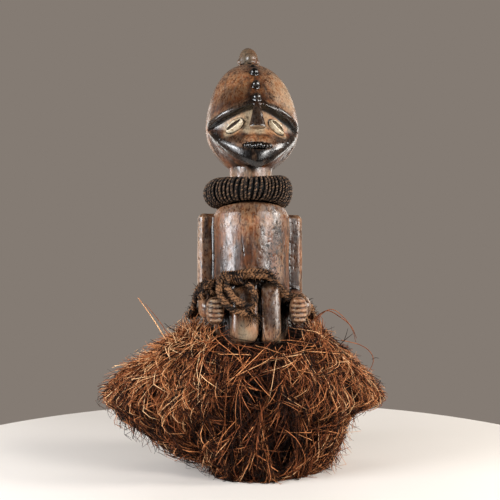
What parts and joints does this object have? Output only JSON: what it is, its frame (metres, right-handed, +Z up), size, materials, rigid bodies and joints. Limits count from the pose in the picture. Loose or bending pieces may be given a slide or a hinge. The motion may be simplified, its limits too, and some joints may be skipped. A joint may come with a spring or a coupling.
{
  "type": "carved wooden ancestor figure",
  "caption": "Standing carved wooden guardian figure with a pointed dome head, cowrie eyes, a wound cord collar, a waist rope and a bushy root-fibre skirt.",
  "frame": {"origin": "centre of the base's underside", "axes": "+Z up the figure, -Y out of its face, +X towards its left hand"},
  "size_m": [0.3351, 0.1849, 0.557],
  "materials": {
    "patinated_wood": "dark glossy patina over worn wood",
    "cowrie_shell": "gloss shell with a dirty slit",
    "dark_cord": "matte dark twisted cord",
    "plant_rope": "matte worn plant rope",
    "root_fibre": "dry reddish brown root fibre"
  },
  "bodies": {
    "root": {"carved_figure": "patinated_wood", "right_cowrie_eye": "cowrie_shell", "left_cowrie_eye": "cowrie_shell", "neck_collar": "dark_cord", "waist_rope": "plant_rope", "fibre_skirt": "root_fibre"}
  },
  "joints": []
}
